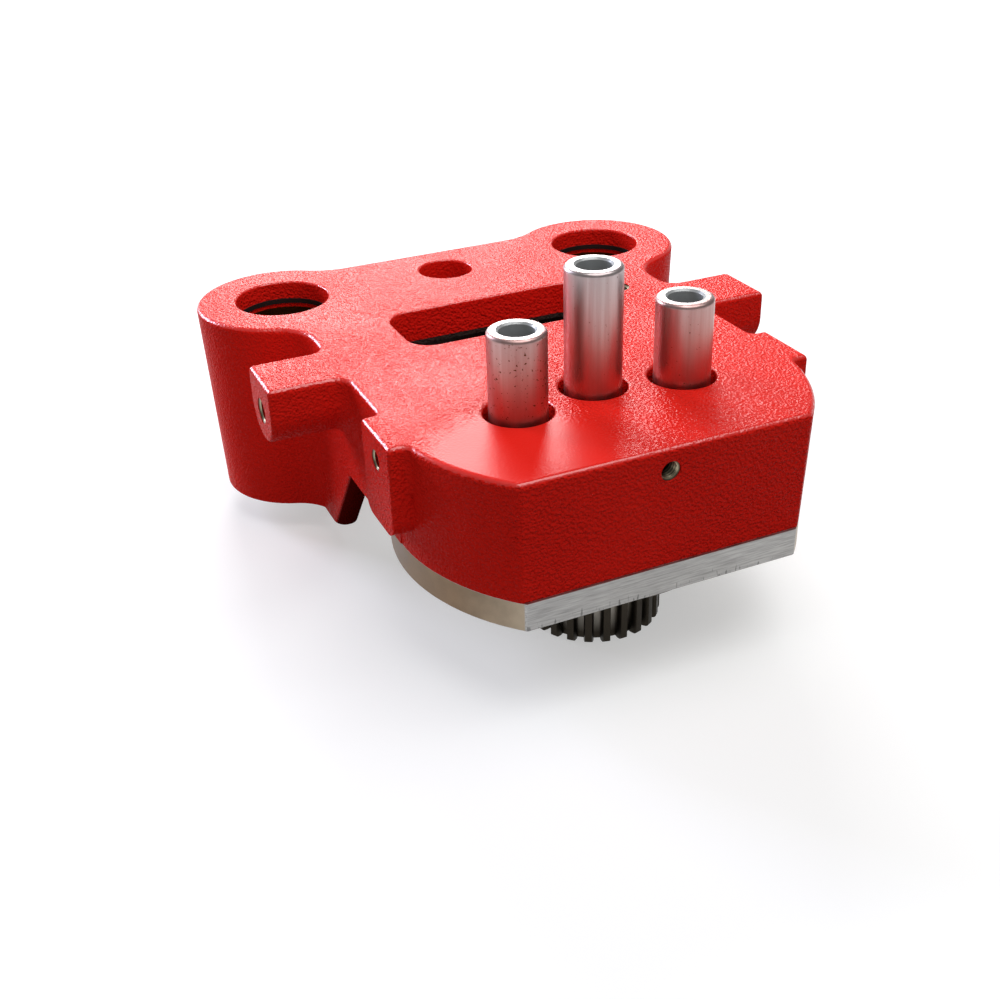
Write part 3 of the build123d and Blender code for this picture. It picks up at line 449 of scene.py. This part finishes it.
class DRILLHEAD_OT_finish_spindles(bpy.types.Operator):
    """Plates the three spindles with bright zinc that has started to spot"""
    bl_idname = "drill_head.finish_spindles"
    bl_label = "Finish the spindles"

    def execute(self, context):
        look = context.scene.drill_head_finishes
        # Zinc plate on turned steel: satin with soft bands, lathe rings, a brown bloom that is partly a painted
        # reflection of the red deck, specks and pale sockets.
        for name in nodes_named("_spindle"):
            material, tree, shader, place = new_material(name + "_zinc_plate")
            joint = next(j for j in frame["record"]["behaviour"]["joints"] if j["name"] == name + "_turn")
            centre = (joint["pos_m"][0], joint["pos_m"][1], 0.0)
            local = add_node(tree, "ShaderNodeVectorMath", {0: place, 1: centre}, operation="SUBTRACT")
            axes = add_node(tree, "ShaderNodeSeparateXYZ", {0: local.outputs[0]})
            flat = add_node(tree, "ShaderNodeCombineXYZ", {"X": axes.outputs["X"], "Y": axes.outputs["Y"]})
            reach = add_node(tree, "ShaderNodeVectorMath", {0: flat.outputs[0]}, operation="LENGTH")
            inside = add_node(tree, "ShaderNodeMapRange", {"Value": reach.outputs["Value"], "From Min": SOCKET_LIP_R,
                                                           "From Max": SOCKET_R})
            drawn = add_node(tree, "ShaderNodeMapping", {"Vector": place, "Scale": (1.0, 1.0, BAND_STRETCH)})
            bands = add_node(tree, "ShaderNodeTexNoise", {"Vector": drawn.outputs[0],
                                                          "Scale": spots_per_metre(BAND_MM), "Detail": 3.0,
                                                          "Roughness": 0.6})
            round_it = add_node(tree, "ShaderNodeMapping", {"Vector": place,
                                                            "Scale": (RING_STRETCH, RING_STRETCH, 1.0)})
            rings = add_node(tree, "ShaderNodeTexNoise", {"Vector": round_it.outputs[0],
                                                          "Scale": spots_per_metre(RING_MM), "Detail": 3.0})
            specks = add_node(tree, "ShaderNodeTexNoise", {"Vector": place, "Scale": spots_per_metre(SPECK_MM),
                                                           "Detail": 2.0})
            start = LEFT_SPECKS_FROM if name == "left_spindle" else SPECKS_FROM
            spotted = add_node(tree, "ShaderNodeMapRange", {"Value": specks.outputs["Fac"], "From Min": start,
                                                            "From Max": start + SPECK_EDGE})
            shade = add_node(tree, "ShaderNodeMapRange", {"Value": bands.outputs["Fac"], "From Min": NOISE_LOW,
                                                          "From Max": NOISE_HIGH, "To Min": BAND_DARK,
                                                          "To Max": BAND_LIGHT})
            zinc = add_node(tree, "ShaderNodeVectorMath", {0: look.zinc[:3], "Scale": shade.outputs[0]},
                            operation="SCALE")
            # Painted reflection of the red deck, with some brown bloom, strongest near the deck.
            near_deck = add_node(tree, "ShaderNodeMapRange", {"Value": axes.outputs["Z"], "From Min": BLOOM_REFLECTION_NONE,
                                                              "From Max": BLOOM_REFLECTION_FULL, "To Min": 0.0,
                                                              "To Max": BLOOM_REFLECTION_SHARE})
            zinc_with_reflection = add_node(tree, "ShaderNodeMix", {0: near_deck.outputs[0], "A": zinc.outputs[0], "B": look.bloom_and_deck_reflection},
                            data_type="RGBA")
            colour = add_node(tree, "ShaderNodeMix", {0: spotted.outputs[0], "A": zinc_with_reflection.outputs["Result"],
                                                      "B": look.rust}, data_type="RGBA")
            colour = add_node(tree, "ShaderNodeMix", {0: inside.outputs[0], "A": colour.outputs["Result"],
                                                      "B": look.socket}, data_type="RGBA")
            rough = add_node(tree, "ShaderNodeMapRange", {"Value": bands.outputs["Fac"], "From Min": NOISE_LOW,
                                                          "From Max": NOISE_HIGH, "To Min": BAND_DULL,
                                                          "To Max": BAND_GLOSSY})
            rough = add_node(tree, "ShaderNodeMix", {0: spotted.outputs[0], "A": rough.outputs[0],
                                                     "B": SPECK_ROUGHNESS})
            metal = add_node(tree, "ShaderNodeMapRange", {"Value": inside.outputs[0], "To Min": 1.0,
                                                          "To Max": SOCKET_METAL})
            bump = add_node(tree, "ShaderNodeBump", {"Height": rings.outputs["Fac"], "Strength": RING_STRENGTH,
                                                     "Distance": RING_HEIGHT})
            tree.links.new(colour.outputs["Result"], shader.inputs["Base Color"])
            tree.links.new(rough.outputs[0], shader.inputs["Roughness"])
            tree.links.new(metal.outputs[0], shader.inputs["Metallic"])
            tree.links.new(bump.outputs[0], shader.inputs["Normal"])
            finish_nodes([name], material)
        return {"FINISHED"}


# Hub: radii between its tooth tops and gaps, and the height over which the painted highlight in the gaps turns bright.
TOOTH_R, GAP_R = 19.8 * MM, 18.5 * MM
GAP_DARK_Z, GAP_BRIGHT_Z = -28 * MM, -15 * MM
HUB_CLOUD_MM, HUB_GLOSSY, HUB_DULL = 3, 0.3, 0.5


class DRILLHEAD_OT_finish_coupling(bpy.types.Operator):
    """Blackens the toothed coupling hub, the screws and the rings, and gives the seals their rubber"""
    bl_idname = "drill_head.finish_coupling"
    bl_label = "Finish the coupling"

    def execute(self, context):
        # Blackened steel: dark tooth tops, with a painted highlight down in the gaps that brightens upwards.
        material, tree, shader, place = new_material("blackened_coupling_steel")
        axes = add_node(tree, "ShaderNodeSeparateXYZ", {0: place})
        flat = add_node(tree, "ShaderNodeCombineXYZ", {"X": axes.outputs["X"], "Y": axes.outputs["Y"]})
        reach = add_node(tree, "ShaderNodeVectorMath", {0: flat.outputs[0]}, operation="LENGTH")
        gap = add_node(tree, "ShaderNodeMapRange", {"Value": reach.outputs["Value"], "From Min": TOOTH_R,
                                                    "From Max": GAP_R})
        gap_highlight_rise = add_node(tree, "ShaderNodeMapRange", {"Value": axes.outputs["Z"], "From Min": GAP_DARK_Z,
                                                       "From Max": GAP_BRIGHT_Z})
        # Painted highlight: the gaps turn bright towards the top.
        worn = add_node(tree, "ShaderNodeMath", {0: gap.outputs[0], 1: gap_highlight_rise.outputs[0]}, operation="MULTIPLY")
        colour = add_node(tree, "ShaderNodeMix", {0: worn.outputs[0], "A": linear("#3A352E"), "B": linear("#BDB8AE")},
                          data_type="RGBA")
        cloud = add_node(tree, "ShaderNodeTexNoise", {"Vector": place, "Scale": spots_per_metre(HUB_CLOUD_MM),
                                                      "Detail": 4.0})
        rough = add_node(tree, "ShaderNodeMapRange", {"Value": cloud.outputs["Fac"], "From Min": NOISE_LOW,
                                                      "From Max": NOISE_HIGH, "To Min": HUB_GLOSSY,
                                                      "To Max": HUB_DULL})
        tree.links.new(colour.outputs["Result"], shader.inputs["Base Color"])
        tree.links.new(rough.outputs[0], shader.inputs["Roughness"])
        shader.inputs["Metallic"].default_value = 1.0
        finish_nodes(["coupling_hub"], material)

        # Black oxide on screws, washer and retaining rings: dull, with a little cloud in it.
        material = clouded_material("black_oxide_steel", cloud_mm=2, detail=4.0, dark="#232120", light="#3B3836",
                                    metallic=1.0, roughness=0.45)
        finish_nodes(["hub_screw", "hub_washer", "plate_screws"] + nodes_named("_shaft_ring", "_bush_ring"), material)

        # Nitrile rubber of the shaft seal and the wipers: black and satin.
        material = clouded_material("nitrile_rubber", cloud_mm=4, detail=3.0, dark="#141312", light="#1F1D1C",
                                    metallic=0.0, roughness=0.55)
        finish_nodes(["shaft_seal"] + nodes_named("_wiper_ring"), material)
        return {"FINISHED"}


# Fine lines that the reamer has left round the bushes: width, and how far they are drawn out.
REAMED_MM, REAMED_STRETCH = 0.6, 0.1


class DRILLHEAD_OT_finish_gears(bpy.types.Operator):
    """Finishes the gears, keys, spacers, dowels, ball bearings and guide bushes"""
    bl_idname = "drill_head.finish_gears"
    bl_label = "Finish the gears"

    def execute(self, context):
        # Hobbed and hardened gear steel: grey-brown with an oily gloss.
        material = clouded_material("hardened_gear_steel", cloud_mm=3, detail=4.0, dark="#7C766F", light="#A09A92",
                                    metallic=1.0, roughness=0.32)
        finish_nodes(nodes_named("_gear", "_gear_key", "_spacer", "hub_key", "plate_dowels"), material)

        # Ground bearing steel: bright, with a fine cloud from the stone.
        material = clouded_material("ground_bearing_steel", cloud_mm=1, detail=3.0, dark="#C2C4C6", light="#D8D9DA",
                                    metallic=1.0, roughness=0.18)
        finish_nodes(nodes_named("_bearing_outer", "_bearing_inner", "_bearing_balls"), material)

        # Oiled bronze of the guide bushes: dark gold with fine lines from the reamer.
        material, tree, shader, place = new_material("oiled_bush_bronze")
        round_it = add_node(tree, "ShaderNodeMapping", {"Vector": place,
                                                        "Scale": (REAMED_STRETCH, REAMED_STRETCH, 1.0)})
        lines = add_node(tree, "ShaderNodeTexNoise", {"Vector": round_it.outputs[0],
                                                      "Scale": spots_per_metre(REAMED_MM), "Detail": 3.0})
        colour = add_node(tree, "ShaderNodeMix", {0: lines.outputs["Fac"], "A": linear("#5A4426"),
                                                  "B": linear("#8A6C3E")}, data_type="RGBA")
        tree.links.new(colour.outputs["Result"], shader.inputs["Base Color"])
        shader.inputs["Metallic"].default_value = 1.0
        shader.inputs["Roughness"].default_value = 0.35
        finish_nodes(nodes_named("_guide_bush"), material)
        return {"FINISHED"}


def start_fresh():
    """Leaves nothing selected, so that an operator acts only on the piece made next."""
    if bpy.context.mode != "OBJECT":
        bpy.ops.object.mode_set(mode="OBJECT")
    bpy.ops.object.select_all(action="DESELECT")


# Threads: shares of the pitch, of the radius, and small gaps to the walls of the solid.
CREST_SHARE, LIP_DEPTH_SHARE, LIP_HEIGHT_SHARE = 0.54, 0.6, 0.45
# The second of these sets how far down the hole the painted shade darkens the thread, as a share of the radius.
POINT_SHARE, DEPTH_SHADE_SHARE = 0.3, 1.7
WALL_GAP, LIP_GAP, POINT_GAP = 0.03 * MM, 0.01 * MM, 0.05 * MM
LIP_DROP, POINT_LIFT, POINT_TIP_R = 0.25 * MM, 0.02 * MM, 0.2 * MM
MOUTH_FREE, LINING_WALL, WELD = 0.4 * MM, 0.02 * MM, 0.001 * MM
SMALL_HOLE_R, CONE_STEPS, CREASE = 3.5 * MM, 48, math.radians(35)


def thread_profile(radius, pitch, length, steps):
    """Lining of a tapped hole along -Z from the origin: one V of the thread, screwed up the hole from its bottom."""
    start_fresh()
    bpy.ops.mesh.primitive_circle_add(vertices=3, radius=radius)
    lining = bpy.context.object
    wall = radius - WALL_GAP
    crest = wall - CREST_SHARE * pitch
    points = ((wall, 0, -length), (crest, 0, -length + pitch / 2), (wall, 0, -length + pitch))
    for vertex, point in zip(lining.data.vertices, points):
        vertex.co = point
    bpy.ops.object.mode_set(mode="EDIT")
    bpy.ops.mesh.select_mode(type="EDGE")
    bpy.ops.mesh.select_all(action="DESELECT")
    bpy.ops.object.mode_set(mode="OBJECT")
    for edge in lining.data.edges:
        edge.select = set(edge.vertices) == {0, 2}
    bpy.ops.object.mode_set(mode="EDIT")
    bpy.ops.mesh.delete(type="EDGE_FACE")
    bpy.ops.object.mode_set(mode="OBJECT")
    screw = lining.modifiers.new("turns", "SCREW")
    screw.angle = 2 * math.pi
    screw.screw_offset = pitch
    screw.iterations = int((length - MOUTH_FREE) / pitch) - 1
    screw.steps = steps
    screw.render_steps = steps
    bpy.ops.object.modifier_apply(modifier=screw.name)
    bpy.ops.object.mode_set(mode="EDIT")
    bpy.ops.mesh.select_all(action="SELECT")
    bpy.ops.mesh.remove_doubles(threshold=WELD)
    bpy.ops.object.mode_set(mode="OBJECT")
    return lining


class DRILLHEAD_OT_cut_threads(bpy.types.Operator):
    """Lines each tapped hole with its thread, lip and drill point in bare cut iron"""
    bl_idname = "drill_head.cut_threads"
    bl_label = "Cut the threads"

    def execute(self, context):
        sizes = context.scene.drill_head_threads
        # Freshly cut iron: bright and a little yellow on the crests, with painted shade in the roots and down the
        # hole.
        material, tree, shader, _ = new_material("cut_thread_iron")
        thread_light = add_node(tree, "ShaderNodeAttribute", attribute_name="thread_light")
        colour = add_node(tree, "ShaderNodeMix", {0: thread_light.outputs["Fac"], "A": sizes.root, "B": sizes.crest},
                          data_type="RGBA")
        tree.links.new(colour.outputs["Result"], shader.inputs["Base Color"])
        shader.inputs["Metallic"].default_value = 1.0
        shader.inputs["Roughness"].default_value = 0.3

        for mount in frame["record"]["mounts"]:
            if mount["kind"] != "threaded_hole":
                continue
            radius = mount["dims"]["r_mm"] * MM
            length = mount["dims"]["length_mm"] * MM
            pitch = sizes.small_pitch if radius < SMALL_HOLE_R else sizes.large_pitch
            through = mount["name"] == "stop_tap"
            lining = thread_profile(radius, pitch, length, sizes.steps)
            # Lip at the mouth, and the drill point of a blind hole: lower radius, upper radius, middle and height.
            lip = LIP_HEIGHT_SHARE * pitch
            point = POINT_SHARE * radius
            cones = [(radius - LIP_DEPTH_SHARE * pitch, radius - LIP_GAP, -lip / 2 - LIP_DROP, lip)]
            if not through:
                cones.append((POINT_TIP_R, radius - POINT_GAP, POINT_LIFT - length - point / 2, point))
            made = [lining]
            for low_r, high_r, middle, height in cones:
                start_fresh()
                bpy.ops.mesh.primitive_cone_add(vertices=CONE_STEPS, radius1=low_r, radius2=high_r, depth=height,
                                                location=(0, 0, middle), end_fill_type="NOTHING")
                made.append(bpy.context.object)
            start_fresh()
            for piece in made:
                piece.select_set(True)
            context.view_layer.objects.active = lining
            bpy.ops.object.join()
            shell = lining.modifiers.new("shell", "SOLIDIFY")
            shell.thickness = LINING_WALL
            shell.offset = 0.0
            bpy.ops.object.modifier_apply(modifier=shell.name)
            # How far each point stands out from the bottom of the thread towards its crest, fading down the hole: this
            # sets the painted light, dark in the roots and darker deeper in.
            light_values = lining.data.attributes.new("thread_light", "FLOAT", "POINT")
            for vertex, share in zip(lining.data.vertices, light_values.data):
                rise = (radius - vertex.co.xy.length) / (CREST_SHARE * pitch)
                depth_light = max(0.0, 1 + vertex.co.z / (DEPTH_SHADE_SHARE * radius))
                share.value = min(1.0, rise) * depth_light
            out = Vector(mount["axis"])
            mouth = Vector(mount["pos_m"])
            if through:
                mouth += out * length / 2
            lining.matrix_world = Matrix.Translation(mouth) @ out.to_track_quat("Z", "Y").to_matrix().to_4x4()
            bpy.ops.object.transform_apply(location=True, rotation=True, scale=True)
            bpy.ops.object.mode_set(mode="EDIT")
            bpy.ops.mesh.select_all(action="SELECT")
            bpy.ops.mesh.normals_make_consistent(inside=False)
            bpy.ops.object.mode_set(mode="OBJECT")
            bpy.ops.object.shade_smooth_by_angle(angle=CREASE)
            lining.name = mount["name"] + "_thread"
            lining.data.materials.append(material)
            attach(lining, "housing")
        return {"FINISHED"}


# Floor and backdrop, in metres: the floor lies just under the part, and a wide curve joins it to the backdrop.
FLOOR_GAP = 0.05 * MM
FLOOR_SIZE, FLOOR_Y, BACKDROP_HEIGHT = 6.0, -1.2, 2.2
CURVE_R, CURVE_STEPS = 0.8, 16
NEAR_EDGE = 0.01
WHITE, PAPER_GLOW = (1, 1, 1, 1), 0.45
# Camera that was fitted to the photograph: its place, its view and its upright.
CAMERA_PLACE = (-0.157508, -0.293874, 0.198015)
CAMERA_FORWARD = (0.34578, 0.79663, -0.49580)
CAMERA_UP = (0.22680, 0.44177, 0.86799)
SENSOR_MM, NEAREST = 36.0, 0.01
# Lamps hang at these places, face this point of the part and have these widths and heights.
LAMP_TARGET = (0, 0.04, 0.03)
TOP_LAMP_PLACE, TOP_LAMP_SIZE = (0.12, -0.18, 0.93), (0.9, 0.7)
BACK_LAMP_PLACE, BACK_LAMP_SIZE = (0.36, 1.17, 0.66), (0.68, 0.62)
RIM_LAMP_PLACE, RIM_LAMP_SIZE = (-0.60, 0.98, 0.44), (0.32, 0.5)


class DRILLHEAD_OT_set_stage(bpy.types.Operator):
    """Lays the floor and backdrop, hangs the lamps and sets the camera"""
    bl_idname = "drill_head.set_stage"
    bl_label = "Set the stage"

    def execute(self, context):
        stage = context.scene.drill_head_stage
        ground = CAD_BOX[0][2] - FLOOR_GAP
        start_fresh()
        bpy.ops.mesh.primitive_plane_add(size=FLOOR_SIZE, location=(0, FLOOR_Y, ground))
        sweep = context.object
        sweep.name = "floor_and_backdrop"
        bpy.ops.object.transform_apply(location=True, rotation=True, scale=True)
        bpy.ops.object.mode_set(mode="EDIT")
        bpy.ops.mesh.select_mode(type="EDGE")
        bpy.ops.mesh.select_all(action="DESELECT")
        bpy.ops.object.mode_set(mode="OBJECT")
        back = max(vertex.co.y for vertex in sweep.data.vertices)
        for edge in sweep.data.edges:
            edge.select = all(sweep.data.vertices[i].co.y > back - NEAR_EDGE for i in edge.vertices)
        bpy.ops.object.mode_set(mode="EDIT")
        bpy.ops.mesh.extrude_region_move(TRANSFORM_OT_translate={"value": (0, 0, BACKDROP_HEIGHT)})
        bpy.ops.mesh.select_all(action="DESELECT")
        bpy.ops.object.mode_set(mode="OBJECT")
        for edge in sweep.data.edges:
            ends = [sweep.data.vertices[i].co for i in edge.vertices]
            edge.select = all(co.y > back - NEAR_EDGE and co.z < ground + NEAR_EDGE for co in ends)
        bpy.ops.object.mode_set(mode="EDIT")
        bpy.ops.mesh.bevel(offset=CURVE_R, segments=CURVE_STEPS)
        bpy.ops.object.mode_set(mode="OBJECT")
        bpy.ops.object.shade_smooth()

        # Matt pale paper: it shows white to the camera and in reflections, and keeps the shadow.
        material = bpy.data.materials.new("matt_paper")
        material.use_nodes = True
        tree = material.node_tree
        tree.nodes.clear()
        ray = add_node(tree, "ShaderNodeLightPath")
        seen = add_node(tree, "ShaderNodeMath", {0: ray.outputs["Is Camera Ray"], 1: ray.outputs["Is Glossy Ray"]},
                        operation="MAXIMUM")
        seen = add_node(tree, "ShaderNodeMath", {0: seen.outputs[0], 1: ray.outputs["Is Transmission Ray"]},
                        operation="MAXIMUM")
        paper = add_node(tree, "ShaderNodeBsdfDiffuse", {"Color": stage.floor})
        shade = add_node(tree, "ShaderNodeBsdfDiffuse", {"Color": stage.floor_bounce})
        glow = add_node(tree, "ShaderNodeEmission", {"Color": WHITE, "Strength": PAPER_GLOW})
        bright = add_node(tree, "ShaderNodeAddShader", {0: paper.outputs[0], 1: glow.outputs[0]})
        mix = add_node(tree, "ShaderNodeMixShader", {0: seen.outputs[0], 1: shade.outputs[0], 2: bright.outputs[0]})
        add_node(tree, "ShaderNodeOutputMaterial", {"Surface": mix.outputs[0]})
        sweep.data.materials.append(material)

        world = bpy.data.worlds.new("soft_room")
        context.scene.world = world
        world.use_nodes = True
        tree = world.node_tree
        tree.nodes.clear()
        room = add_node(tree, "ShaderNodeBackground", {"Color": WHITE, "Strength": stage.room})
        add_node(tree, "ShaderNodeOutputWorld", {"Surface": room.outputs[0]})

        # Soft daylight boxes: one above, one behind that the deck mirrors, and a cool one for the left rims.
        lamps = (("top_softbox", TOP_LAMP_PLACE, TOP_LAMP_SIZE, stage.top_power, stage.lamp_white),
                 ("back_softbox", BACK_LAMP_PLACE, BACK_LAMP_SIZE, stage.back_power, stage.lamp_white),
                 ("rim_softbox", RIM_LAMP_PLACE, RIM_LAMP_SIZE, stage.rim_power, stage.lamp_cool))
        for name, place, size, power, tint in lamps:
            light = bpy.data.lights.new(name, "AREA")
            light.shape = "RECTANGLE"
            light.size, light.size_y = size
            light.energy = power
            light.color = tint[:3]
            lamp = bpy.data.objects.new(name, light)
            lamp.location = place
            lamp.rotation_euler = (Vector(LAMP_TARGET) - Vector(place)).to_track_quat("-Z", "Y").to_euler()
            context.scene.collection.objects.link(lamp)

        data = bpy.data.cameras.new("photo_camera")
        data.sensor_fit = "HORIZONTAL"
        data.sensor_width = SENSOR_MM
        data.lens = stage.lens
        data.clip_start = NEAREST
        camera = bpy.data.objects.new("photo_camera", data)
        forward = Vector(CAMERA_FORWARD).normalized()
        right = forward.cross(Vector(CAMERA_UP)).normalized()
        up = right.cross(forward)
        turn = Matrix((right, up, -forward)).transposed().to_4x4()
        camera.matrix_world = Matrix.Translation(CAMERA_PLACE) @ turn
        context.scene.collection.objects.link(camera)
        context.scene.camera = camera
        context.scene.view_settings.view_transform = "Standard"
        return {"FINISHED"}


class DRILLHEAD_PT_panel(bpy.types.Panel):
    """Steps and sizes of the drilling head"""
    bl_idname = "DRILLHEAD_PT_panel"
    bl_label = "Drilling head"
    bl_space_type = "VIEW_3D"
    bl_region_type = "UI"
    bl_category = "Drilling head"

    def draw(self, context):
        for step in STEPS:
            self.layout.operator(step.bl_idname)
        for group, kind in GROUPS.items():
            values = getattr(context.scene, group)
            for name in kind.__annotations__:
                self.layout.prop(values, name)


STEPS = (DRILLHEAD_OT_enamel_casting, DRILLHEAD_OT_finish_plate, DRILLHEAD_OT_finish_spindles,
         DRILLHEAD_OT_finish_coupling, DRILLHEAD_OT_finish_gears, DRILLHEAD_OT_cut_threads, DRILLHEAD_OT_set_stage)
GROUPS = {"drill_head_finishes": HeadFinishes, "drill_head_threads": HeadThreads, "drill_head_stage": HeadStage}


def register():
    for kind in (*GROUPS.values(), *STEPS, DRILLHEAD_PT_panel):
        bpy.utils.register_class(kind)
    for group, kind in GROUPS.items():
        setattr(bpy.types.Scene, group, PointerProperty(type=kind))


def unregister():
    for group in GROUPS:
        delattr(bpy.types.Scene, group)
    for kind in (DRILLHEAD_PT_panel, *reversed(STEPS), *GROUPS.values()):
        bpy.utils.unregister_class(kind)


def main():
    register()
    bpy.ops.drill_head.enamel_casting()
    bpy.ops.drill_head.finish_plate()
    bpy.ops.drill_head.finish_spindles()
    bpy.ops.drill_head.finish_coupling()
    bpy.ops.drill_head.finish_gears()
    bpy.ops.drill_head.cut_threads()
    bpy.ops.drill_head.set_stage()


if __name__ == "__main__":
    main()
